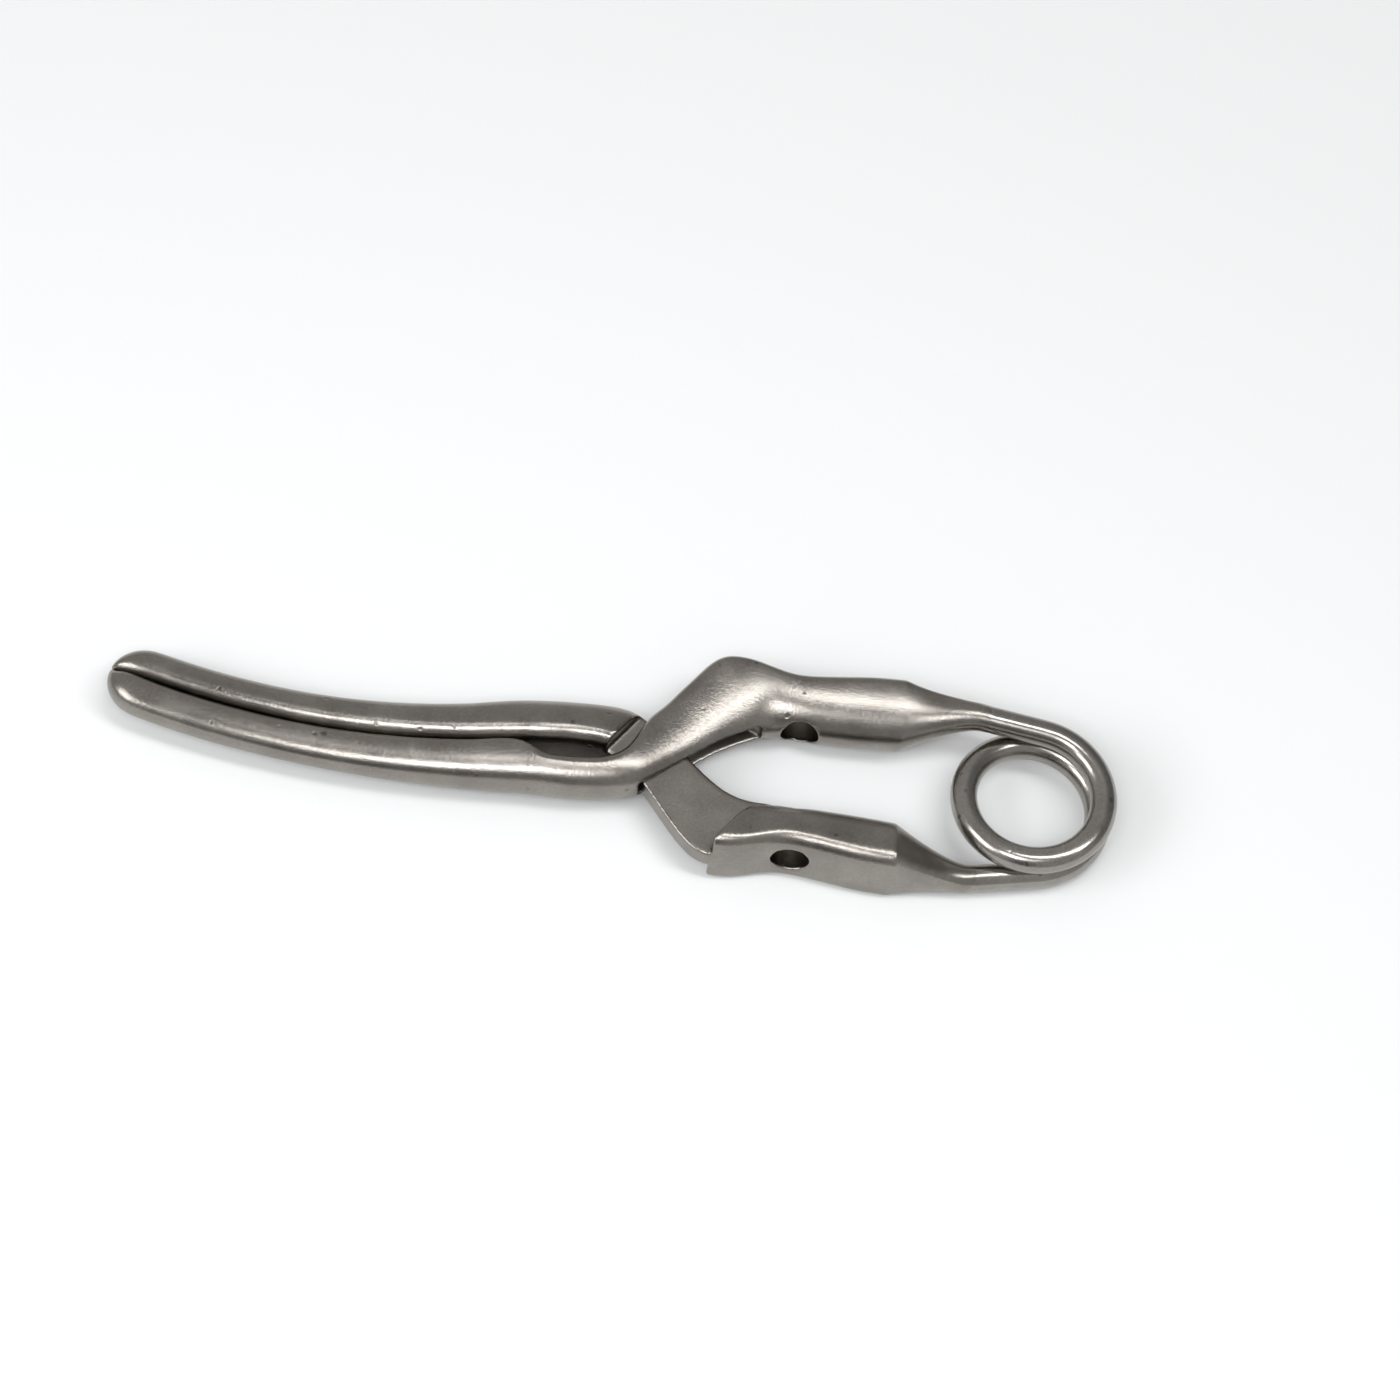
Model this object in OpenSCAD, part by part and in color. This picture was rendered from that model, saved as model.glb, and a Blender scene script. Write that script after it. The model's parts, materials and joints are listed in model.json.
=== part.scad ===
// Cross-action bulldog clamp: squeezing the two pads opens the curved jaws.
// One arm's thin tongue passes through a slot in the other arm, and a torsion spring of one and a
// half turns closes the jaws. The coil's axis is the hinge.
// Origin: middle of the overall length, on the plane that the pads rest on.
// +X runs from the jaws to the spring, +Y to the upper pad, +Z away from the resting plane.

/* [Overall] */
// Length from the jaw tips to the outside of the coil
overall_l = 120; // [100:1:150]
// Half of the height over the two pads, at their spring ends
pad_y = 12.8; // [10.5:0.1:16]
// Thickness of the finger pads
pad_t = 8.8; // [7:0.1:11]

/* [Jaws] */
// Radius of the bow of the jaws
jaw_curve_r = 105; // [70:1:400]
// Height of the upper jaw near its tip
upper_jaw_h = 4.1; // [3:0.05:6]
// Height of the lower jaw near its tip
lower_jaw_h = 4; // [3:0.05:6]
// Height of the upper jaw where it meets the box
upper_root_h = 5.8; // [4:0.1:7]
// Height of the lower jaw where it meets the box
lower_root_h = 5.4; // [4:0.1:7]
// Thickness of the jaws near their tips
jaw_t = 4.6; // [3.5:0.1:7]
// Length of the rounded jaw ends
tip_l = 4.2; // [2:0.1:6]
// Gap left between the closed jaw tips
tip_gap = 0.14; // [0.1:0.02:0.4]
// Extra gap between the clamping faces behind the tips
face_relief = 0.3; // [0:0.05:1]

/* [Box joint] */
// Thickness of the box
box_t = 7; // [5.5:0.1:9]
// Thickness of the tongue
tongue_t = 2.5; // [1.4:0.1:3]
// Play between the tongue and each cheek of the slot
side_play = 0.15; // [0.1:0.01:0.4]
// Play between the tongue's edge and the slot's end when the jaws are closed
end_play = 0.6; // [0.2:0.05:1.5]
// Angle that the tongue arm can swing from closed to open
open_angle = 14; // [6:0.5:15]

/* [Pads] */
// Length of a pad from its bump to its spring end
pad_l = 20.9; // [17:0.1:26]
// Height of a pad at its spring end
pad_h = 7.4; // [5:0.1:9]
// Depth of the finger saddle in the outer face
saddle = 1.2; // [0:0.1:2]
// Diameter of the hole through each pad
hole_d = 4.5; // [2.5:0.1:5.5]

/* [Spring] */
// Mean radius of the coil
coil_r = 8.3; // [6.5:0.1:10]
// Wire diameter
wire_d = 3.2; // [2:0.1:3.8]
// Rise of the coil in one turn
coil_pitch = 3.5; // [3.4:0.1:4]
// Angle of the upper straight leg to the X axis
upper_leg_angle = 8; // [0:0.5:12]
// Angle of the lower straight leg to the X axis
lower_leg_angle = 12; // [0:0.5:16]
// How far the middle of the coil sits above the middle of the pads
coil_lift = 0.4; // [0:0.1:1]
// Distance from the coil's axis to the pads' spring ends
pad_to_coil = 16.3; // [14:0.1:22]
// Length of the tapered shank between a pad and the wire
shank_l = 9; // [4:0.1:11]

/* [Hidden] */

mid_z = pad_t / 2;
coil_x = overall_l / 2 - coil_r - wire_d / 2;
tip_x = -overall_l / 2;
pad_end_x = coil_x - pad_to_coil;
bump_x = pad_end_x - pad_l;
box_run = 24.3;              // from the end of the clamping faces to the bump
face_end_x = bump_x - box_run;
face_low_x = face_end_x - 17.1;
face_low_y = -2.75;          // lowest point of the bowed parting line
pad_edge = 0.45;             // chamfer along the edges of a pad's flat side
jaw_edge = 0.5;              // the same along a jaw
round_power = 2.3;           // fullness of the round side, 2 is an ellipse
side_points = 19;            // points round the half-round side
section_points = side_points + 2;
joint_gap = 0.03;            // butt gap between shank and wire, filled by braze
slot_margin = 4;             // degrees of slot beyond the open position
leg_end_x = pad_end_x + shank_l;
wire_sweep = 540 - upper_leg_angle - lower_leg_angle;
wire_rise = coil_pitch * wire_sweep / 360;
coil_z = mid_z + coil_lift;

steel = "silver";

// ---- shared functions ----

function lerp(a, b, k) = a + (b - a) * k;
function smoothstep(k) = let (c = min(max(k, 0), 1)) c * c * (3 - 2 * c);

// Catmull-Rom spline through a list of vectors, with steps points in each span
function spline_at(p0, p1, p2, p3, k) =
    p1 + (p2 - p0) * k / 2 + (2 * p0 - 5 * p1 + 4 * p2 - p3) * pow(k, 2) / 2
    + (3 * p1 - p0 - 3 * p2 + p3) * pow(k, 3) / 2;
function spline(keys, steps) = let (last = len(keys) - 1) [
    for (i = [0 : last - 1], s = [0 : steps - 1])
        spline_at(keys[max(i - 1, 0)], keys[i], keys[i + 1], keys[min(i + 2, last)], s / steps),
    keys[last]
];

// A point of an arm turned about the coil's axis, as the tongue arm turns when it opens
function swing(p, angle) = let (d = p[0] - coil_x) [
    coil_x + d * cos(angle) + p[1] * sin(angle),
    p[1] * cos(angle) - d * sin(angle)
];

// Half-round section. A station is [flat side x, y, round side x, y, thickness].
function section(s) = let (
    flat = [s[0], s[1]],
    across = [s[2], s[3]] - flat,
    height = norm(across),
    cut = min(lerp(jaw_edge, pad_edge, smoothstep((s[0] - face_end_x) / box_run)), height / 4, s[4] / 8)
) [
    for (i = [0 : side_points - 1]) let (
        angle = 90 - 180 * i / (side_points - 1),
        depth = max(pow(max(cos(angle), 0), 2 / round_power), cut / height),
        z = sign(angle) * pow(abs(sin(angle)), 2 / round_power) * s[4] / 2,
        p = flat + across * depth
    ) [p[0], p[1], mid_z + z],
    [flat[0], flat[1], mid_z - s[4] / 2 + cut],
    [flat[0], flat[1], mid_z + s[4] / 2 - cut]
];

// Round wire section at the end of a shank, point for point with the half-round section
function wire_section(x, y, z, side) = [
    for (i = [0 : section_points - 1]) let (angle = 130 - 260 * i / (side_points - 1))
        i < side_points
            ? [x, y - side * wire_d / 2 * cos(angle), z + wire_d / 2 * sin(angle)]
            : let (back = 180 + (i == side_points ? 16 : -16))
                [x, y - side * wire_d / 2 * cos(back), z + wire_d / 2 * sin(back)]
];

// Closed solid through a list of sections
module loft(sections, flip) {
    n = len(sections[0]);
    last = len(sections) - 1;
    sides = [for (j = [0 : last - 1], i = [0 : n - 1]) let (a = j * n + i, b = j * n + (i + 1) % n)
        each [[a, b, b + n], [a, b + n, a + n]]];
    caps = [[for (i = [n - 1 : -1 : 0]) i], [for (i = [0 : n - 1]) last * n + i]];
    faces = concat(sides, caps);
    polyhedron(points = [for (s = sections) each s],
        faces = flip ? [for (f = faces) [for (i = [len(f) - 1 : -1 : 0]) f[i]]] : faces);
}

// ---- shape of the arms ----

// Parting line of the closed jaws: an arc bowed away from the upper pad
function parting_y(x) = face_low_y + jaw_curve_r
    - sqrt(pow(jaw_curve_r, 2) - pow(x - face_low_x, 2));
function parting_turn(x) = asin((x - face_low_x) / jaw_curve_r);
function face_gap(x) = tip_gap
    + face_relief * smoothstep((x - tip_x - tip_l / 2) / tip_l)
    * lerp(1, 0.6, (x - tip_x) / (face_end_x - tip_x));

// One station of a jaw: side is -1 for the lower jaw and 1 for the upper one
function jaw_station(x, side) = let (
    along = (x - tip_x) / (face_end_x - tip_x),
    dome = sin(acos(max(1 - (x - tip_x) / tip_l, 0))),
    height = dome * (side > 0 ? lerp(upper_jaw_h, upper_root_h, pow(along, 2.2))
        : lerp(lower_jaw_h, lower_root_h, pow(along, 3))),
    thick = lerp(jaw_t, box_t, smoothstep((along - 0.45) / 0.75)) * pow(dome, 0.8),
    y = parting_y(x) + side * face_gap(x) / 2,
    turn = parting_turn(x)
) [x, y, x - side * height * sin(turn), y + side * height * cos(turn), thick];

jaw_stations = 18;
dome_angles = [14, 30, 48, 68, 90];
jaw_xs = concat(
    [for (a = dome_angles) tip_x + tip_l * (1 - cos(a))],
    [for (i = [1 : jaw_stations]) lerp(tip_x + tip_l, face_end_x, i / jaw_stations)]
);

// Shape of a handle from its bump to its spring end: flat side and round side
crest_y = pad_y - pad_h - 0.4;
function handle_keys(side) = [for (k = [
    [0,    pad_y + 0.30,          5.4,          crest_y - 0.1,  pad_t],
    [2.4,  pad_y + 0.15,          6.3,          crest_y,        pad_t],
    [5.4,  pad_y - 0.6 * saddle,  7.3,          crest_y + 0.02, pad_t],
    [8.0,  pad_y - saddle,        8.9,          crest_y,        pad_t],
    [11.5, pad_y - 0.75 * saddle, 11.8,         crest_y,        pad_t],
    [17.0, pad_y - 0.15 * saddle, 17.0,         crest_y + 0.15, pad_t],
    [pad_l, pad_y,                pad_l,        pad_y - pad_h,  pad_t]
]) [bump_x + k[0], side * k[1], bump_x + k[2], side * k[3], k[4]]];

// Slotted arm: from the lower jaw up through the box to the upper pad
rise = pad_y / 12.8;
slotted_box_keys = [for (k = [
    [-21.4, -2.85, -21.5, -6.75, box_t],
    [-18.2, -2.95, -18.4, -6.75, box_t],
    [-15.0, -2.60, -15.2, -6.50, box_t],
    [-12.5, -1.60, -11.9, -5.95, box_t],
    [-11.0,  0.05,  -9.3, -5.10, box_t],
    [-9.9,   2.40,  -6.9, -3.30, box_t],
    [-9.0,   3.95 * rise, -5.2, -1.90, box_t],
    [-7.75,  5.25 * rise, -3.5, -0.65, box_t],
    [-6.1,   7.45 * rise, -1.2,  1.25 * rise, lerp(box_t, pad_t, 0.2)],
    [-4.4,   9.60 * rise,  1.0,  2.75 * rise, lerp(box_t, pad_t, 0.5)],
    [-2.8,  11.65 * rise,  2.8,  3.75 * rise, lerp(box_t, pad_t, 0.8)],
    [-1.35, 12.75 * rise,  4.3,  4.55 * rise, pad_t]
]) [bump_x + k[0], k[1], bump_x + k[2], k[3], k[4]]];

// Tongue arm: from the upper jaw down through the slot to the lower pad
tongue_box_keys = [for (k = [
    [-21.3, -0.95, -21.1,  5.05, box_t],
    [-18.4, -0.65, -17.2,  5.35, box_t],
    [-16.3, -0.65, -13.6,  5.45, box_t],
    [-14.5, -0.75, -10.6,  4.95, box_t],
    [-12.1, -1.90,  -7.0,  2.40, box_t],
    [-9.3,  -4.40 * rise, -4.4,  0.20, box_t],
    [-7.0,  -7.40 * rise, -2.0, -2.00 * rise, box_t],
    [-4.9, -10.10 * rise,  0.3, -3.75 * rise, lerp(box_t, pad_t, 0.5)],
    [-3.0, -12.05 * rise,  2.4, -4.65 * rise, lerp(box_t, pad_t, 0.8)],
    [-1.45, -12.90 * rise, 4.2, -4.95 * rise, pad_t]
]) [bump_x + k[0], k[1], bump_x + k[2], k[3], k[4]]];

// How far a straight leg of the spring is from the coil's axis in Y, at x
function leg_angle(side) = side > 0 ? upper_leg_angle : lower_leg_angle;
function leg_y(x, side) = side * (coil_r / cos(leg_angle(side)) + (coil_x - x) * tan(leg_angle(side)));

// Section of the shank, a share k of the way from the pad to the wire
function shank_section(pad_end, wire_end, k) = let (ease = k * (1.5 - k / 2)) [
    for (i = [0 : section_points - 1]) [
        lerp(pad_end[i][0], wire_end[i][0], k),
        lerp(pad_end[i][1], wire_end[i][1], ease),
        lerp(pad_end[i][2], wire_end[i][2], ease)
    ]
];

// A whole arm as one bar: jaw, box, pad and tapered shank
module bar(jaw_side, pad_side, box_keys) {
    jaw = [for (x = jaw_xs) jaw_station(x, jaw_side)];
    joined = concat([jaw[len(jaw) - 1]], box_keys, handle_keys(pad_side));
    curve = spline(joined, 3);
    handle = [for (i = [1 : len(curve) - 1]) curve[i]];
    pad_end = section(handle[len(handle) - 1]);
    wire_end = wire_section(leg_end_x, leg_y(leg_end_x, pad_side),
        coil_z + pad_side * wire_rise / 2, pad_side);
    sections = concat(
        [for (s = concat(jaw, handle)) section(s)],
        [for (k = [0.15, 0.35, 0.55, 0.75, 1]) shank_section(pad_end, wire_end, k)]
    );
    loft(sections, pad_side > 0);
}

// Round hole through a pad from face to face
module pad_hole(pad_side) {
    hole_x = bump_x + 8.9;
    translate([hole_x, pad_side * (pad_y + 2), mid_z])
        rotate([90 * pad_side, 0, 0])
            cylinder(d = hole_d, h = pad_h + 4, $fn = 48);
}

// ---- box joint ----

// Edges of the tongue where it passes through the slot
tongue_left = [for (i = [3 : 6]) [tongue_box_keys[i][0], tongue_box_keys[i][1]]];
tongue_right = [for (i = [3 : 9]) [tongue_box_keys[i][2], tongue_box_keys[i][3]]];

module slot() {
    gap = [-end_play, -end_play] / sqrt(2);
    opened = [for (p = tongue_right) swing(p, open_angle + slot_margin)];
    last = len(opened) - 1;
    below = opened[last] - [0, pad_h];
    outline = concat([for (p = tongue_left) p + gap], [below], [for (i = [last : -1 : 0]) opened[i]]);
    slot_w = tongue_t + 2 * side_play;
    translate([0, 0, mid_z - slot_w / 2])
        linear_extrude(height = slot_w)
            polygon(outline);
}

// What is milled off each side of the tongue arm to leave the tongue
module tongue_milling() {
    outline = [
        [bump_x - 14.1, -1.0],
        [bump_x - 8.7, 6.7],
        [bump_x + 8.0, 6.7],
        [bump_x + 8.0, -5.2 * rise],
        [bump_x + 5.5, -5.9 * rise],
        [bump_x + 3.6, -6.5 * rise],
        [bump_x + 2.6, -7.6 * rise],
        [bump_x - 0.5, -12.2 * rise],
        [bump_x - 0.3, -13.2 * rise],
        [bump_x + 0.4, -14.0 * rise],
        [bump_x - 3.0, -16.0 * rise],
        [bump_x - 14.1, -16.0 * rise]
    ];
    for (z = [-1, mid_z + tongue_t / 2])
        translate([0, 0, z])
            linear_extrude(height = mid_z - tongue_t / 2 + 1)
                polygon(outline);
}

// ---- pieces ----

module slotted_arm() {
    color(steel)
        difference() {
            bar(-1, 1, slotted_box_keys);
            slot();
            pad_hole(1);
        }
}

module tongue_arm() {
    color(steel)
        difference() {
            bar(1, -1, tongue_box_keys);
            tongue_milling();
            pad_hole(-1);
        }
}

// Round wire: straight leg, one and a half turns, straight leg
module spring() {
    start = 90 - upper_leg_angle;
    coil_steps = 44;
    sides = 14;
    coil = [for (i = [0 : coil_steps]) let (k = i / coil_steps, angle = start - wire_sweep * k)
        [coil_x + coil_r * cos(angle), coil_r * sin(angle), coil_z + wire_rise * (0.5 - k)]];
    headings = [for (i = [0 : coil_steps]) start - 90 - wire_sweep * i / coil_steps];
    leg = leg_end_x + joint_gap;
    path = concat([[leg, leg_y(leg, 1), coil_z + wire_rise / 2]], coil,
        [[leg, leg_y(leg, -1), coil_z - wire_rise / 2]]);
    turns = concat([0], headings, [-540]);
    sections = [for (i = [0 : len(path) - 1]) [for (j = [0 : sides - 1])
        let (a = 360 * j / sides) path[i] + wire_d / 2
            * [-sin(turns[i]) * cos(a), cos(turns[i]) * cos(a), sin(a)]]];
    color(steel) loft(sections, true);
}

slotted_arm();
tongue_arm();
spring();
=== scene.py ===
import json
import math

import bmesh
import bpy
import numpy as np
from mathutils import Matrix, Vector


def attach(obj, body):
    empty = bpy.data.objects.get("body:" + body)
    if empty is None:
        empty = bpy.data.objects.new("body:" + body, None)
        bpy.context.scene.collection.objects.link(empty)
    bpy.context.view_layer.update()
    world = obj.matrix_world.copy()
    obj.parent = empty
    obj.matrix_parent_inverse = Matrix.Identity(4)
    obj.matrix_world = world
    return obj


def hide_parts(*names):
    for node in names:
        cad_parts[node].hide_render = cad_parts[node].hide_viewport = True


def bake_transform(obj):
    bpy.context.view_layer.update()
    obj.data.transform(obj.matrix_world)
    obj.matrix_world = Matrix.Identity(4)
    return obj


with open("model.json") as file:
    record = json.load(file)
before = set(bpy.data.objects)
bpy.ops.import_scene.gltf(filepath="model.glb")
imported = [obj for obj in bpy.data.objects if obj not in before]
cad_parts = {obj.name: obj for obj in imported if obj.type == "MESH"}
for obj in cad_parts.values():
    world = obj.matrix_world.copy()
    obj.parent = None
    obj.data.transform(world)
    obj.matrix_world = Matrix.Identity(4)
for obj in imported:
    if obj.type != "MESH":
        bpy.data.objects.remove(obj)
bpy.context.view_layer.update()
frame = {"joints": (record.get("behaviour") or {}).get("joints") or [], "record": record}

# ---- Slotted arm ----
# A half-round bar of forged stainless steel: the lower jaw, the box with its slot, the upper finger pad
# and the shank that tapers down to the spring wire. The slot is milled through it and its edges are
# broken by hand before the whole bar is satin finished.

MM = 0.001
hinge_x = frame["joints"][0]["pos_m"][0] / MM
mid_z = frame["joints"][0]["pos_m"][2] / MM

# sizes in millimetres: the jaws
tip_x, tip_l, jaw_t = -60.0, 4.2, 4.6
# the box joint, its tongue and the play around it
box_l, box_t, tongue_t, side_play, end_play, open_angle = 24.3, 7.0, 2.5, 0.15, 0.6, 14
# the finger pads: half their spread, height, length, thickness and the hollow along them
pad_y, pad_h, pad_l, pad_t, saddle = 12.8, 7.4, 20.9, 8.8, 1.2
# the shanks, and the wire that starts at their ends
shank_l, pad_to_coil = 9.0, 16.3
coil_r, wire_d, coil_pitch, coil_z = 8.3, 3.2, 3.5, mid_z + 0.4
leg_angles = {1: math.radians(8), -1: math.radians(12)}
wire_sweep = 3 * math.pi - leg_angles[1] - leg_angles[-1]
wire_rise = coil_pitch * wire_sweep / (2 * math.pi)
# where each stretch of an arm ends, along X
pad_end_x = hinge_x - pad_to_coil
bump_x = pad_end_x - pad_l
face_end_x = bump_x - box_l
leg_end_x = pad_end_x + shank_l


def smoothstep(k):
    k = np.clip(k, 0, 1)
    return k * k * (3 - 2 * k)


def parting(x):
    """Height and slope of the arc on which the closed jaws meet."""
    low_x, low_y, bow_r = face_end_x - 17.1, -2.75, 105  # the arc's lowest point and its radius
    return low_y + bow_r - np.sqrt(bow_r**2 - (x - low_x) ** 2), np.arcsin((x - low_x) / bow_r)


def face_gap(x):
    """The closed jaws touch at their tips, nearly, and stand a little apart behind them."""
    tip_gap, face_relief = 0.14, 0.3
    relief = face_relief * smoothstep((x - tip_x - tip_l / 2) / tip_l)
    return tip_gap + relief * (1 - 0.4 * (x - tip_x) / (face_end_x - tip_x))


def jaw_stations(side):
    """Rows of flat side x, y, round side x, y, thickness and relief, from the rounded tip to the box."""
    dome = tip_x + tip_l * (1 - np.cos(np.radians(np.linspace(6, 90, 22))))
    x = np.concatenate([dome, np.linspace(tip_x + tip_l, face_end_x, 90)[1:]])
    along = (x - tip_x) / (face_end_x - tip_x)
    swell = np.sqrt(1 - np.clip(1 - (x - tip_x) / tip_l, 0, 1) ** 2)
    if side > 0:
        height = swell * (4.1 + 1.7 * along**2.2)
    else:
        height = swell * (4.0 + 1.4 * along**3)
    thick = (jaw_t + (box_t - jaw_t) * smoothstep((along - 0.45) / 0.75)) * swell**0.8
    y, turn = parting(x)
    y = y + side * face_gap(x) / 2
    return np.stack([x, y, x - side * height * np.sin(turn), y + side * height * np.cos(turn), thick, 0 * x], 1)


def handle_keys(side):
    """The finger pad, from the bump to its square end, hollowed a little for the finger."""
    crest = pad_y - pad_h - 0.4
    rows = [
        [0, pad_y + 0.30, 5.4, crest - 0.1],
        [2.4, pad_y + 0.15, 6.3, crest],
        [5.4, pad_y - 0.6 * saddle, 7.3, crest + 0.02],
        [8.0, pad_y - saddle, 8.9, crest],
        [11.5, pad_y - 0.75 * saddle, 11.8, crest],
        [17.0, pad_y - 0.15 * saddle, 17.0, crest + 0.15],
        [pad_l, pad_y, pad_l, pad_y - pad_h],
    ]
    return [[bump_x + a, side * b, bump_x + c, side * d, pad_t, 0] for a, b, c, d in rows]


def swept_keys(keys, step=0.4):
    """A smooth row of stations through the keys, evenly spaced, with the wobble of the keys eased out."""
    keys = np.array(keys)
    fine = []
    for i in range(len(keys) - 1):
        p0, p1, p2, p3 = keys[max(i - 1, 0)], keys[i], keys[i + 1], keys[min(i + 2, len(keys) - 1)]
        for k in np.arange(0, 1, 0.05):
            bend, twist = 2 * p0 - 5 * p1 + 4 * p2 - p3, 3 * p1 - p0 - 3 * p2 + p3
            fine.append(p1 + (p2 - p0) * k / 2 + bend * k**2 / 2 + twist * k**3 / 2)
    fine = np.array(fine + [keys[-1]])
    middle = (fine[:, :2] + fine[:, 2:4]) / 2
    run = np.concatenate([[0], np.cumsum(np.linalg.norm(np.diff(middle, axis=0), axis=1))])
    even = np.linspace(0, run[-1], int(run[-1] / step))
    rows = np.stack([np.interp(even, run, column) for column in fine.T], 1)
    for _ in range(6):
        rows[1:-1] = (rows[:-2] + 2 * rows[1:-1] + rows[2:]) / 4
    return rows


def half_round(rows, jaw_edge, pad_edge, jaw_power=2.6, pad_power=2.1, corner=7, sides=56):
    """Half-round sections: a flat side, cut back by the relief, between an upper and a lower rounded edge."""
    sections = []
    for fx, fy, cx, cy, t, relief in rows:
        flat = np.array([fx, fy])
        across = np.array([cx, cy]) - flat
        height = np.linalg.norm(across)
        along = float(smoothstep((fx - face_end_x) / box_l))
        power = jaw_power + (pad_power - jaw_power) * along
        radii = [min(j + (p - j) * along, height / 2.4, t / 2.6) for j, p in zip(jaw_edge, pad_edge)]
        starts = [math.acos(min(1, ((r + relief) / height) ** (power / 2))) for r in radii]
        turn = np.linspace(starts[0], -starts[1], sides)
        depth = np.cos(turn) ** (2 / power)
        z = np.sign(turn) * np.abs(np.sin(turn)) ** (2 / power) * t / 2
        a = np.linspace(0, np.pi / 2, corner)[1:]
        up, down = (
            np.stack([(relief + r - r * np.sin(a)) / height, np.sign(edge) * (abs(edge) - r + r * np.cos(a))], 1)
            for r, edge in zip(radii, (z[0], z[-1]))
        )
        level = np.linspace(down[-1, 1], up[-1, 1], 12)[1:-1]
        face = np.stack([np.full(len(level), relief / height), level], 1)
        shape = np.concatenate([np.stack([depth, z], 1), down, face, up[::-1]])
        points = flat + across * shape[:, :1]
        sections.append(np.column_stack([points, mid_z + shape[:, 1]]))
    return np.array(sections)


def shank(last, side):
    """The tapered shank: it flows into the round wire a little past the wire's end, and stops inside it."""
    leg = leg_angles[side]
    leg_y = side * (coil_r / math.cos(leg) + (hinge_x - leg_end_x) * math.tan(leg))
    leg_z = coil_z + side * wire_rise / 2
    around = last - last.mean(0)
    angle = np.arctan2(around[:, 2] / (pad_t / 2), -side * around[:, 1] / (pad_h / 2))
    ring = (wire_d / 2 + 0.03) * np.stack([-side * np.cos(angle), np.sin(angle)], 1)
    rows = []
    for k in np.linspace(0, 1.143, 25)[1:]:
        # the taper's curve, which turns level with the wire over its last third
        ease = k * (1.5 - k / 2) if k < 0.8 else 0.88 + 0.7 * (k - 0.8) - 1.0204 * (k - 0.8) ** 2
        lift = (2 * ease + smoothstep(k)) / 3
        x = last[:, 0] + (leg_end_x - last[:, 0]) * k
        line = leg_y - side * np.maximum(x - leg_end_x, 0) * math.tan(leg)
        y = last[:, 1] * (1 - ease) + (line + ring[:, 0]) * ease
        z = mid_z + (leg_z - mid_z) * lift + (last[:, 2] - mid_z) * (1 - ease) + ring[:, 1] * ease
        rows.append(np.column_stack([x, y, z]))
    wire_centre = rows[-1].mean(0)
    for past, shrink in ((0.5, 0.85), (1.0, 0.65)):
        inside = wire_centre + np.array([past, -side * past * math.tan(leg), 0])
        rows.append(inside + np.column_stack([0 * angle, shrink * ring]))
    return np.array(rows)


def skin(sections):
    """A closed mesh through a row of sections."""
    m, n = sections.shape[:2]
    i, j = np.meshgrid(np.arange(n), np.arange(m - 1))
    a, b = j * n + i, j * n + (i + 1) % n
    quads = np.stack([a, b, b + n, a + n], -1).reshape(-1, 4).tolist()
    quads.append(list(range(n - 1, -1, -1)))
    quads.append([(m - 1) * n + k for k in range(n)])
    mesh = bpy.data.meshes.new("skin")
    mesh.from_pydata(sections.reshape(-1, 3).tolist(), [], quads)
    return mesh


def block(outline, low, high):
    """A closed prism, used as a milling cutter."""
    n = len(outline)
    points = [(x, y, z) for z in (low, high) for x, y in outline]
    faces = [[i, (i + 1) % n, n + (i + 1) % n, n + i] for i in range(n)]
    faces += [list(range(n - 1, -1, -1)), [n + i for i in range(n)]]
    mesh = bpy.data.meshes.new("cutter")
    mesh.from_pydata(points, [], faces)
    return mesh


def turned(profile, x, side, sides=64):
    """A cutter turned about the axis of a pad's hole: rows of distance along Y and radius."""
    a = np.linspace(0, 2 * np.pi, sides, endpoint=False)
    rings = np.array([[[x + r * np.cos(t), side * y, mid_z + r * np.sin(t)] for t in a] for y, r in profile])
    return skin(rings)


def outward(mesh):
    """Turns a closed mesh's faces outwards."""
    work = bmesh.new()
    work.from_mesh(mesh)
    bmesh.ops.remove_doubles(work, verts=work.verts, dist=1e-5)
    bmesh.ops.recalc_face_normals(work, faces=work.faces)
    if work.calc_volume(signed=True) < 0:
        bmesh.ops.reverse_faces(work, faces=work.faces)
    work.to_mesh(mesh)
    work.free()
    return mesh


def solid(name, mesh):
    """An object in the scene from a closed mesh."""
    piece = bpy.data.objects.new(name, outward(mesh))
    bpy.context.scene.collection.objects.link(piece)
    return piece


def baked(piece):
    """The piece's evaluated mesh as a plain mesh, with its modifiers gone."""
    bpy.context.view_layer.update()
    made = bpy.data.meshes.new_from_object(piece.evaluated_get(bpy.context.evaluated_depsgraph_get()))
    piece.modifiers.clear()
    old, piece.data = piece.data, made
    bpy.data.meshes.remove(old)
    return piece


def finished_arm(name, bar, cutters, grain=0.19):
    """Cuts the bar, then breaks its edges as hand finishing does, on an even skin of small faces."""
    piece = solid(name, bar)
    tools = [solid("tool", c) for c in cutters]
    for tool in tools:
        cut = piece.modifiers.new("cut", "BOOLEAN")
        cut.operation, cut.solver, cut.object = "DIFFERENCE", "EXACT", tool
    baked(piece)
    for tool in tools:
        bpy.data.objects.remove(tool)
    even = piece.modifiers.new("even", "REMESH")
    even.mode, even.voxel_size, even.use_smooth_shade = "VOXEL", grain, True
    ease = piece.modifiers.new("ease", "SMOOTH")
    ease.factor, ease.iterations = 0.5, 7
    baked(piece)
    piece.data.transform(Matrix.Scale(MM, 4))
    return piece


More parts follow.
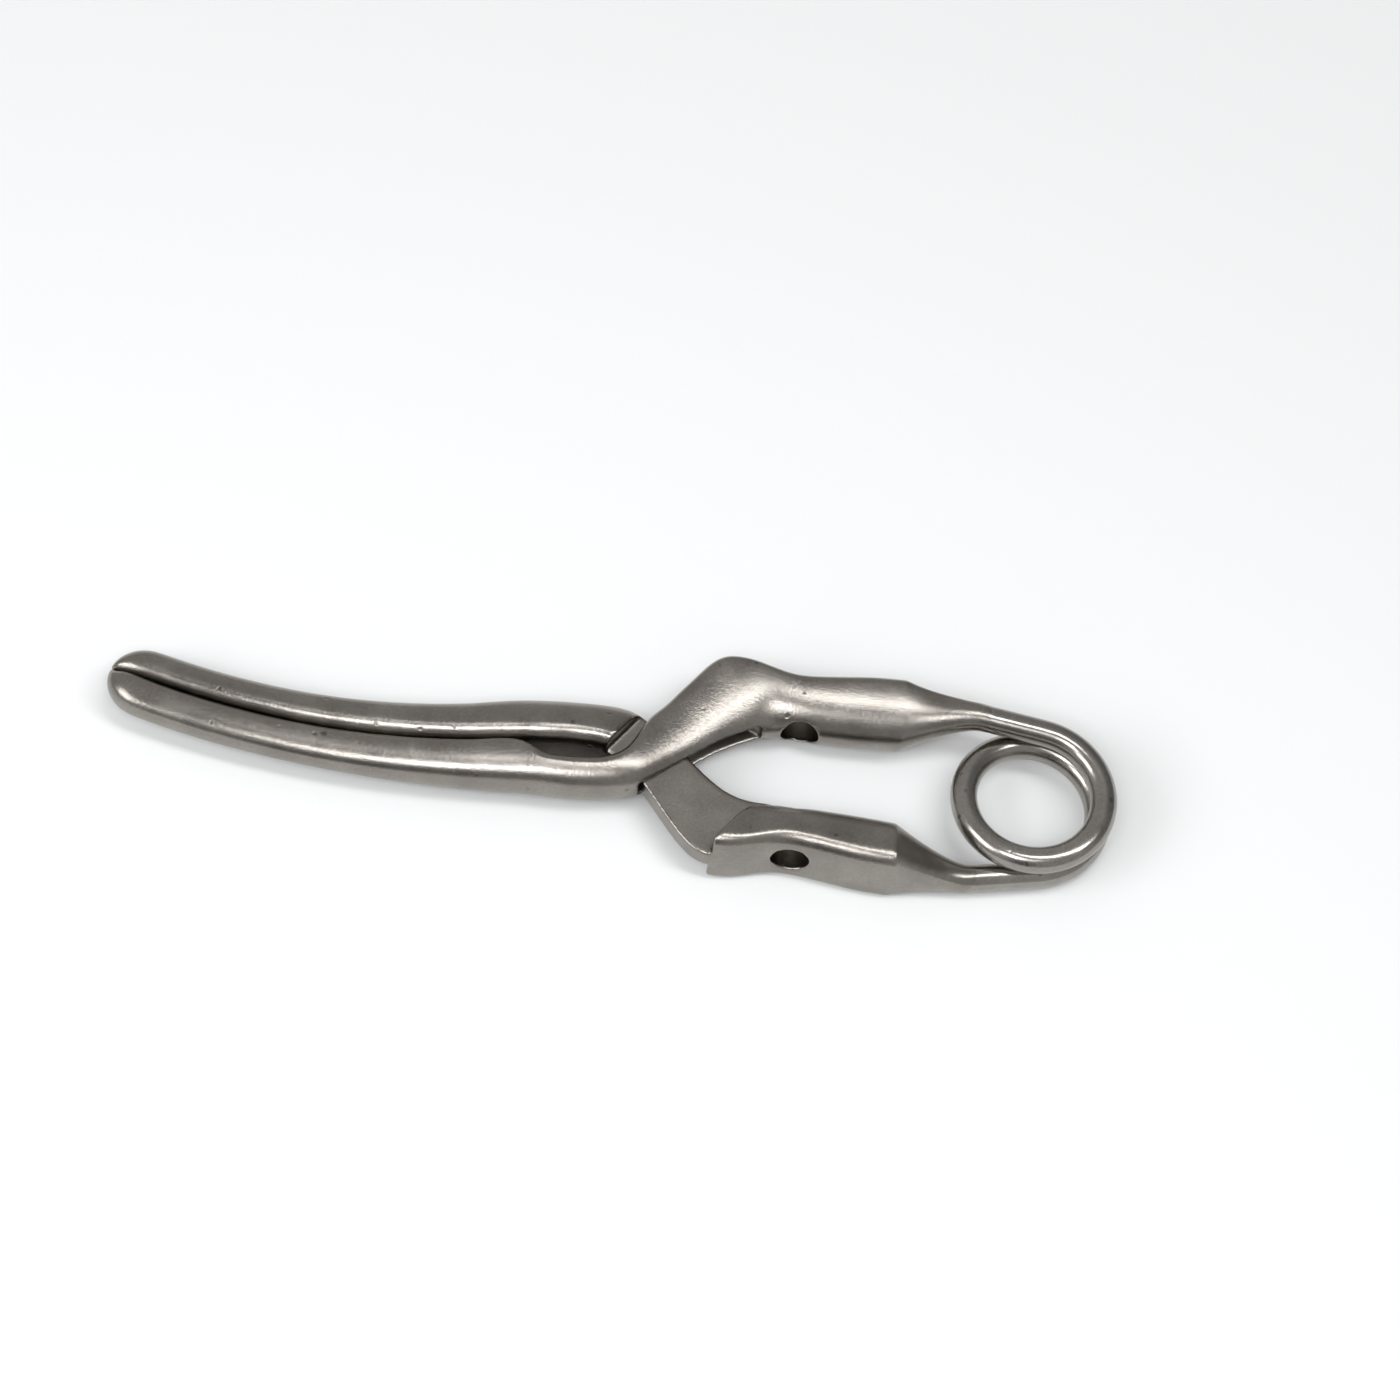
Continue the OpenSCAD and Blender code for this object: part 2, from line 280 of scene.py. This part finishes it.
def note_surface(piece, milled_half):
    """Marks how sharply each point bends outwards, and the flat faces that the cutter left."""
    mesh = piece.data
    n = len(mesh.vertices)
    co, normal = np.zeros(n * 3, np.float32), np.zeros(n * 3, np.float32)
    mesh.vertices.foreach_get("co", co)
    mesh.vertices.foreach_get("normal", normal)
    co, normal = co.reshape(-1, 3) / MM, normal.reshape(-1, 3)
    edges = np.zeros(len(mesh.edges) * 2, np.int32)
    mesh.edges.foreach_get("vertices", edges)
    a, b = edges.reshape(-1, 2).T
    count = np.bincount(a, minlength=n) + np.bincount(b, minlength=n)

    def around(v):
        return (np.bincount(a, v[b], n) + np.bincount(b, v[a], n)) / count

    lap = np.stack([around(co[:, k]) for k in range(3)], 1) - co
    bend = -(lap * normal).sum(1)
    flat = (np.abs(normal[:, 2]) > 0.97) & (np.abs(np.abs(co[:, 2] - mid_z) - milled_half) < 0.08)
    flat = flat.astype(float)
    for _ in range(3):
        bend, flat = around(bend), around(flat)
    for label, value in (("edge", np.clip(bend / 0.012, -1, 1)), ("milled", flat)):
        mesh.attributes.new(label, "FLOAT", "POINT").data.foreach_set("value", value.astype(np.float32))


def swing(points, angle):
    """Points of the tongue arm where they stand when the clamp is open by that angle."""
    c, s = math.cos(math.radians(angle)), math.sin(math.radians(angle))
    return [(hinge_x + (x - hinge_x) * c + y * s, y * c - (x - hinge_x) * s) for x, y in points]


def linear(code):
    """An sRGB hex colour as linear red, green, blue and alpha."""
    values = [int(code[i : i + 2], 16) / 255 for i in (1, 3, 5)]
    return tuple(v / 12.92 if v <= 0.04045 else ((v + 0.055) / 1.055) ** 2.4 for v in values) + (1,)


def add(tree, kind, inputs=(), **settings):
    """Adds a node, sets its settings, and fills its inputs with values or links."""
    node = tree.nodes.new(kind)
    for key, value in settings.items():
        setattr(node, key, value)
    for key, value in dict(inputs).items():
        if isinstance(value, bpy.types.NodeSocket):
            tree.links.new(value, node.inputs[key])
        else:
            node.inputs[key].default_value = value
    return node


def steel_finish(name, light, dark, rough, grain, nick_depth):
    """Finished stainless steel: a fine grain, faint clouds, rubbed edges, duller milled flats and a few nicks, each
    darkened with painted shade.
    """
    material = bpy.data.materials.new(name)
    material.use_nodes = True
    tree = material.node_tree
    tree.nodes.clear()
    place = add(tree, "ShaderNodeTexCoord").outputs["Object"]
    edge = add(tree, "ShaderNodeAttribute", attribute_name="edge").outputs["Fac"]
    milled = add(tree, "ShaderNodeAttribute", attribute_name="milled").outputs["Fac"]
    # blasting leaves a grain of 0.1 mm, drawn three times as coarse so that it shows
    fine = add(tree, "ShaderNodeTexNoise", {"Vector": place, "Scale": 1 / (0.3 * MM), "Detail": 3, "Roughness": 0.7})
    # hand finishing leaves clouds about 5 mm across
    cloud = add(tree, "ShaderNodeTexNoise", {"Vector": place, "Scale": 1 / (5 * MM), "Detail": 4, "Roughness": 0.55})
    # nicks about half a millimetre across, a centimetre or so apart, pulled out of round by the clouds; each dent is
    # real, and its darker colour is painted shade
    bent = add(tree, "ShaderNodeVectorMath", {0: cloud.outputs["Color"], "Scale": 2.5 * MM}, operation="SCALE")
    bent = add(tree, "ShaderNodeVectorMath", {0: place, 1: bent.outputs[0]}, operation="ADD")
    spot = add(tree, "ShaderNodeTexVoronoi", {"Vector": bent.outputs[0], "Scale": 1 / (3.3 * MM)})
    nick_dent_and_shade_range = {"Value": spot.outputs["Distance"], "From Min": 0.1, "From Max": 0.06}
    nick_dent_and_shade = add(tree, "ShaderNodeMapRange", nick_dent_and_shade_range).outputs["Result"]
    cloud_range = {"Value": cloud.outputs["Fac"], "From Min": 0.3, "From Max": 0.7}
    tone = add(tree, "ShaderNodeMapRange", cloud_range).outputs["Result"]
    colour = add(tree, "ShaderNodeMix", {0: tone, 6: linear(dark), 7: linear(light)}, data_type="RGBA").outputs[2]
    speck_range = {"Value": fine.outputs["Fac"], "From Min": 0.25, "From Max": 0.75, "To Min": 0.82, "To Max": 1.1}
    speck = add(tree, "ShaderNodeMapRange", speck_range).outputs["Result"]
    # painted shade: the colour is made up to about a third darker inside each nick, as if the dent lay in shadow
    speck = add(tree, "ShaderNodeMath", {0: nick_dent_and_shade, 1: -0.35, 2: speck}, operation="MULTIPLY_ADD").outputs[0]
    colour = add(tree, "ShaderNodeVectorMath", {0: colour, "Scale": speck}, operation="SCALE").outputs[0]
    shine_range = dict(cloud_range, **{"To Min": rough - 0.03, "To Max": rough + 0.03})
    shine = add(tree, "ShaderNodeMapRange", shine_range).outputs["Result"]
    shine = add(tree, "ShaderNodeMath", {0: edge, 1: -0.06, 2: shine}, operation="MULTIPLY_ADD").outputs[0]
    shine = add(tree, "ShaderNodeMath", {0: milled, 1: 0.14, 2: shine}, operation="MULTIPLY_ADD").outputs[0]
    bump = add(tree, "ShaderNodeBump", {"Height": fine.outputs["Fac"], "Distance": grain * MM})
    bump = add(
        tree, "ShaderNodeBump", {"Height": cloud.outputs["Fac"], "Distance": 0.03 * MM, "Normal": bump.outputs[0]}
    )
    bump = add(
        tree, "ShaderNodeBump", {"Height": nick_dent_and_shade, "Distance": nick_depth * MM, "Normal": bump.outputs[0]}, invert=True
    )
    shader = add(
        tree,
        "ShaderNodeBsdfPrincipled",
        {"Base Color": colour, "Metallic": 1.0, "Roughness": shine, "Normal": bump.outputs[0]},
    )
    add(tree, "ShaderNodeOutputMaterial", {"Surface": shader.outputs[0]})
    return material


# forged stainless steel, blasted and brushed over by hand: a soft grey with long, slightly blurred lights
satin_steel = steel_finish("satin_stainless_steel", "#96918A", "#857F79", rough=0.25, grain=0.026, nick_depth=0.03)

# the box of each arm, from the end of the jaw's face to the bump: flat side x, y, round side x, y,
# thickness and relief, with x counted from the bump
box_keys = [
    [-21.4, -1.00, -21.5, -6.75, box_t, 1.85],
    [-18.2, -0.95, -18.4, -6.75, box_t, 2.00],
    [-15.0, -0.95, -15.2, -6.50, box_t, 1.65],
    [-12.5, -0.90, -11.9, -5.95, box_t, 0.70],
    [-11.0, 0.05, -9.3, -5.10, box_t, 0],
    [-9.9, 2.40, -6.9, -3.30, box_t, 0],
    [-9.0, 3.95, -5.2, -1.90, box_t, 0],
    [-7.75, 5.25, -3.5, -0.65, box_t, 0],
    [-6.1, 7.45, -1.2, 1.25, 7.36, 0],
    [-4.4, 9.60, 1.0, 2.75, 7.9, 0],
    [-2.8, 11.65, 2.8, 3.75, 8.44, 0],
    [-1.35, 12.75, 4.3, 4.55, pad_t, 0],
]
tongue_keys = [
    [-21.3, -0.95, -21.1, 5.05, box_t, 0],
    [-18.4, -0.65, -17.2, 5.35, box_t, 0],
    [-16.3, -0.65, -13.6, 5.45, box_t, 0],
    [-14.5, -0.75, -10.6, 4.95, box_t, 0],
    [-12.1, -1.90, -7.0, 2.40, box_t, 0],
    [-9.3, -4.40, -4.4, 0.20, box_t, 0],
    [-7.0, -7.40, -2.0, -2.00, box_t, 0],
    [-4.9, -10.10, 0.3, -3.75, 7.9, 0],
    [-3.0, -12.05, 2.4, -4.65, 8.44, 0],
    [-1.45, -12.90, 4.2, -4.95, pad_t, 0],
]
tongue_left = [(bump_x + k[0], k[1]) for k in tongue_keys[3:7]]
tongue_right = [(bump_x + k[2], k[3]) for k in tongue_keys[3:10]]


def arm_bar(jaw_side, pad_side, keys, jaw_edge, pad_edge):
    """One arm's uncut bar: jaw, box, finger pad and shank. The edges are the radii above and below."""
    jaw = jaw_stations(jaw_side)
    keys = [[bump_x + k[0], k[1], bump_x + k[2], *k[3:]] for k in keys]
    handle = swept_keys([jaw[-12], jaw[-1]] + keys + handle_keys(pad_side))
    rows = np.concatenate([jaw[:-12], handle])
    sections = half_round(rows, jaw_edge, pad_edge)
    return skin(np.concatenate([sections, shank(sections[-1], pad_side)]))


def hole_cutter(side):
    """The drill for a pad's cross hole, at the record's mount."""
    hole = next(m for m in frame["record"]["mounts"] if m["pos_m"][1] * side > 0)
    x, r = hole["pos_m"][0] / MM, hole["dims"]["r_mm"]
    return turned([(pad_y - pad_h - 4, r), (pad_y + 2, r)], x, side)


# the slot: the tongue's left edge at rest and its right edge swung a little past fully open
opened = swing(tongue_right, open_angle + 4)
slot_half = tongue_t / 2 + side_play
play = end_play / math.sqrt(2)
slot_outline = [(x - play, y - play) for x, y in tongue_left] + [(opened[-1][0], opened[-1][1] - pad_h)] + opened[::-1]

slotted_arm = finished_arm(
    "slotted_arm_satin",
    arm_bar(jaw_side=-1, pad_side=1, keys=box_keys, jaw_edge=(1.0, 1.0), pad_edge=(1.1, 1.1)),
    [block(slot_outline, mid_z - slot_half, mid_z + slot_half), hole_cutter(1)],
)
note_surface(slotted_arm, slot_half)
slotted_arm.data.materials.append(satin_steel)
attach(slotted_arm, "slotted_arm")
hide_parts("slotted_arm")

# ---- Tongue arm ----
# The second half-round bar: the upper jaw, the thin tongue that passes through the other arm's slot,
# and the lower finger pad. Both sides of the tongue are milled flat and left a little duller.

# what the cutter takes off above and below the tongue, up to the shoulder of the finger pad
shoulder = [
    (bump_x - 14.1, -1.0),
    (bump_x - 8.7, 6.7),
    (bump_x + 8.0, 6.7),
    (bump_x + 8.0, -5.2),
    (bump_x + 5.5, -5.9),
    (bump_x + 3.6, -6.5),
    (bump_x + 2.6, -7.6),
    (bump_x - 0.5, -12.2),
    (bump_x - 0.3, -13.2),
    (bump_x + 0.4, -14.0),
    (bump_x - 3.0, -16.0),
    (bump_x - 14.1, -16.0),
]
tongue_arm = finished_arm(
    "tongue_arm_satin",
    arm_bar(jaw_side=1, pad_side=-1, keys=tongue_keys, jaw_edge=(1.9, 1.9), pad_edge=(2.0, 1.2)),
    [
        block(shoulder, -1, mid_z - tongue_t / 2),
        block(shoulder, mid_z + tongue_t / 2, pad_t + 1),
        hole_cutter(-1),
    ],
)
note_surface(tongue_arm, tongue_t / 2)
tongue_arm.data.materials.append(satin_steel)
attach(tongue_arm, "tongue_arm")
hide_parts("tongue_arm")

# ---- Spring ----
# Round spring wire wound one and a half turns, with a straight leg brazed into each shank. It is drawn
# bright and only lightly polished, so its highlights are long and clear.

tree = bpy.data.node_groups.new("wound_wire", "GeometryNodeTree")
for name in ("First leg", "Last leg", "Coil radius", "Wire diameter", "Rise", "Start angle", "Sweep"):
    tree.interface.new_socket(name, in_out="INPUT", socket_type="NodeSocketFloat")
tree.interface.new_socket("Centre", in_out="INPUT", socket_type="NodeSocketVector")
tree.interface.new_socket("Finish", in_out="INPUT", socket_type="NodeSocketMaterial")
tree.interface.new_socket("Wire", in_out="OUTPUT", socket_type="NodeSocketGeometry")
steps = 520
values = dict(add(tree, "NodeGroupInput").outputs.items())
values["index"] = add(tree, "GeometryNodeInputIndex").outputs[0]
# how far each point lies along the wire, then its place on the coil or on a straight leg
for result, operation, *terms in (
    ("share", "DIVIDE", "index", steps - 1),
    ("coil length", "MULTIPLY", "Sweep", "Coil radius"),
    ("legs", "ADD", "First leg", "Last leg"),
    ("length", "ADD", "coil length", "legs"),
    ("run", "MULTIPLY", "share", "length"),
    ("travel", "SUBTRACT", "run", "First leg"),
    ("turned share", "DIVIDE", "travel", "coil length"),
    ("turned share", "MAXIMUM", "turned share", 0),
    ("turned share", "MINIMUM", "turned share", 1),
    ("turned", "MULTIPLY", "turned share", "Sweep"),
    ("angle", "SUBTRACT", "Start angle", "turned"),
    ("before coil", "MINIMUM", "travel", 0),
    ("after coil", "SUBTRACT", "travel", "coil length"),
    ("after coil", "MAXIMUM", "after coil", 0),
    ("straight", "ADD", "before coil", "after coil"),
    ("cos", "COSINE", "angle"),
    ("sin", "SINE", "angle"),
    ("x of coil", "MULTIPLY", "cos", "Coil radius"),
    ("y of coil", "MULTIPLY", "sin", "Coil radius"),
    ("x of leg", "MULTIPLY", "sin", "straight"),
    ("y of leg", "MULTIPLY", "cos", "straight"),
    ("x", "ADD", "x of coil", "x of leg"),
    ("y", "SUBTRACT", "y of coil", "y of leg"),
    ("height share", "SUBTRACT", 0.5, "turned share"),
    ("z", "MULTIPLY", "height share", "Rise"),
    ("wire radius", "MULTIPLY", "Wire diameter", 0.5),
):
    inputs = {k: values[term] if isinstance(term, str) else term for k, term in enumerate(terms)}
    values[result] = add(tree, "ShaderNodeMath", inputs, operation=operation).outputs[0]
place = add(tree, "ShaderNodeCombineXYZ", {"X": values["x"], "Y": values["y"], "Z": values["z"]}).outputs[0]
place = add(tree, "ShaderNodeVectorMath", {0: place, 1: values["Centre"]}, operation="ADD").outputs[0]
line = add(tree, "GeometryNodeMeshLine", {"Count": steps}).outputs[0]
line = add(tree, "GeometryNodeSetPosition", {"Geometry": line, "Position": place}).outputs[0]
# the blur eases the wire from its straight legs into the coil
place = add(tree, "GeometryNodeInputPosition").outputs[0]
ease = add(tree, "GeometryNodeBlurAttribute", {"Value": place, "Iterations": 30}, data_type="FLOAT_VECTOR")
place = ease.outputs[0]
line = add(tree, "GeometryNodeSetPosition", {"Geometry": line, "Position": place}).outputs[0]
line = add(tree, "GeometryNodeMeshToCurve", {"Mesh": line}).outputs[0]
ring = add(tree, "GeometryNodeCurvePrimitiveCircle", {"Resolution": 40, "Radius": values["wire radius"]}).outputs[0]
wire = add(tree, "GeometryNodeCurveToMesh", {"Curve": line, "Profile Curve": ring, "Fill Caps": True}).outputs[0]
wire = add(tree, "GeometryNodeSetShadeSmooth", {"Geometry": wire}).outputs[0]
wire = add(tree, "GeometryNodeRealizeInstances", {"Geometry": wire}).outputs[0]
wire = add(tree, "GeometryNodeSetMaterial", {"Geometry": wire, "Material": values["Finish"]}).outputs[0]
add(tree, "NodeGroupOutput", {"Wire": wire})


def set_size(modifier, name, value):
    """Sets a tree's named input by its identifier."""
    item = next(s for s in modifier.node_group.interface.items_tree if s.name == name and s.in_out == "INPUT")
    modifier[item.identifier] = value


# stainless spring wire, drawn and lightly polished: clearer lights than the arms
bright_wire = steel_finish("polished_spring_wire", "#A09C96", "#918D87", rough=0.2, grain=0.01, nick_depth=0.02)

spring = bpy.data.objects.new("spring_wire", bpy.data.meshes.new("spring_wire"))
bpy.context.scene.collection.objects.link(spring)
wound = spring.modifiers.new("wound", "NODES")
wound.node_group = tree
leg_inside = 0.8  # how far each leg reaches into its shank
for name, side in (("First leg", 1), ("Last leg", -1)):
    leg = leg_angles[side]
    set_size(wound, name, ((hinge_x - leg_end_x + coil_r * math.sin(leg)) / math.cos(leg) + leg_inside) * MM)
set_size(wound, "Coil radius", coil_r * MM)
set_size(wound, "Wire diameter", wire_d * MM)
set_size(wound, "Rise", wire_rise * MM)
set_size(wound, "Start angle", math.pi / 2 - leg_angles[1])
set_size(wound, "Sweep", wire_sweep)
set_size(wound, "Centre", (hinge_x * MM, 0, coil_z * MM))
set_size(wound, "Finish", bright_wire)
baked(spring)
spring.data.materials.clear()
spring.data.materials.append(bright_wire)
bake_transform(spring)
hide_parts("spring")

# ---- Floor, light and camera ----
# A plain pale floor under soft studio light. One long soft box hangs over the clamp, two stand in front
# and to the left, and a small one lights the jaws.

floor_mesh = bpy.data.meshes.new("floor")
floor_mesh.from_pydata([(-4, -4, 0), (4, -4, 0), (4, 4, 0), (-4, 4, 0)], [], [[0, 1, 2, 3]])
floor = bpy.data.objects.new("floor", floor_mesh)
bpy.context.scene.collection.objects.link(floor)
# matt studio paper: an even pale ground
pale = bpy.data.materials.new("pale_paper")
pale.use_nodes = True
pale.node_tree.nodes["Principled BSDF"].inputs["Base Color"].default_value = linear("#EEEEED")
pale.node_tree.nodes["Principled BSDF"].inputs["Roughness"].default_value = 0.9
floor_mesh.materials.append(pale)


def heading(azimuth, elevation):
    """The direction of a point on the sky, from azimuth 0 at the front, and elevation, in degrees."""
    a, e = math.radians(azimuth), math.radians(elevation)
    return Vector((math.sin(a) * math.cos(e), -math.cos(a) * math.cos(e), math.sin(e)))


world = bpy.data.worlds.new("studio")
world.use_nodes = True
bpy.context.scene.world = world
sky = add(world.node_tree, "ShaderNodeTexCoord").outputs["Generated"]
# an even sky with three dimmer regions, given by azimuth, elevation, reach and what is left of the light
brightness = 0.52
for azimuth, elevation, reach, keep in ((-32, 60, 15, 0.2), (-8, 22, 20, 0.3), (120, 25, 55, 0.45)):
    middle = heading(azimuth, elevation)
    lie = add(world.node_tree, "ShaderNodeVectorMath", {0: sky, 1: middle}, operation="DOT_PRODUCT")
    dim = add(
        world.node_tree,
        "ShaderNodeMapRange",
        {
            "Value": lie.outputs["Value"],
            "From Min": math.cos(math.radians(reach)),
            "From Max": 1.0,
            "To Min": 1.0,
            "To Max": keep,
        },
        interpolation_type="SMOOTHSTEP",
    )
    step = add(world.node_tree, "ShaderNodeMath", {0: dim.outputs[0], 1: brightness}, operation="MULTIPLY")
    brightness = step.outputs[0]
world.node_tree.links.new(brightness, world.node_tree.nodes["Background"].inputs["Strength"])
world.node_tree.nodes["Background"].inputs["Color"].default_value = (1.0, 1.0, 1.0, 1)


cool_white = 0.95, 0.975, 1.0


def soft_box(name, azimuth, elevation, width, height, radiance, distance=0.8, aim_x=0):
    """A flat lamp that faces a point on the X axis, with its sides in metres and its angles in degrees."""
    lamp = bpy.data.lights.new(name, "AREA")
    lamp.shape, lamp.size, lamp.size_y = "RECTANGLE", width, height
    lamp.energy = radiance * math.pi * width * height
    lamp.color = cool_white
    back = heading(azimuth, elevation)
    holder = bpy.data.objects.new(name, lamp)
    holder.rotation_mode = "QUATERNION"
    holder.location = Vector((aim_x, 0, 0)) + back * distance
    holder.rotation_quaternion = (-back).to_track_quat("-Z", "Y")
    bpy.context.scene.collection.objects.link(holder)


soft_box("overhead", azimuth=80, elevation=70, width=0.14, height=0.62, radiance=8.7)
soft_box("front", azimuth=3, elevation=58, width=0.3, height=0.15, radiance=2.5)
soft_box("left", azimuth=-62, elevation=38, width=0.45, height=0.34, radiance=5)
soft_box(
    "over_the_jaws", azimuth=3, elevation=60, width=0.08, height=0.08, radiance=10.5, distance=0.3, aim_x=-0.038
)

# the camera: its azimuth, elevation and roll in radians, then its place from the coil's axis
az, el, roll = -0.10447871, 1.02268712, 0.21825908
back = Vector((math.sin(az) * math.cos(el), -math.cos(az) * math.cos(el), math.sin(el)))
sideways = Vector((math.cos(az), math.sin(az), 0))
rise = back.cross(sideways)
right = sideways * math.cos(roll) + rise * math.sin(roll)
upward = rise * math.cos(roll) - sideways * math.sin(roll)
camera = bpy.data.objects.new("camera", bpy.data.cameras.new("camera"))
camera.data.sensor_width, camera.data.lens = 36, 97.2
camera.data.clip_start, camera.data.clip_end = 0.01, 20
where = Vector((hinge_x * MM, 0, 0)) - right * 0.038963 + upward * 0.014682 + back * 0.4536
camera.matrix_world = Matrix.Translation(where) @ Matrix((right, upward, back)).transposed().to_4x4()
bpy.context.scene.collection.objects.link(camera)
bpy.context.scene.camera = camera
bpy.context.scene.view_settings.view_transform = "Standard"
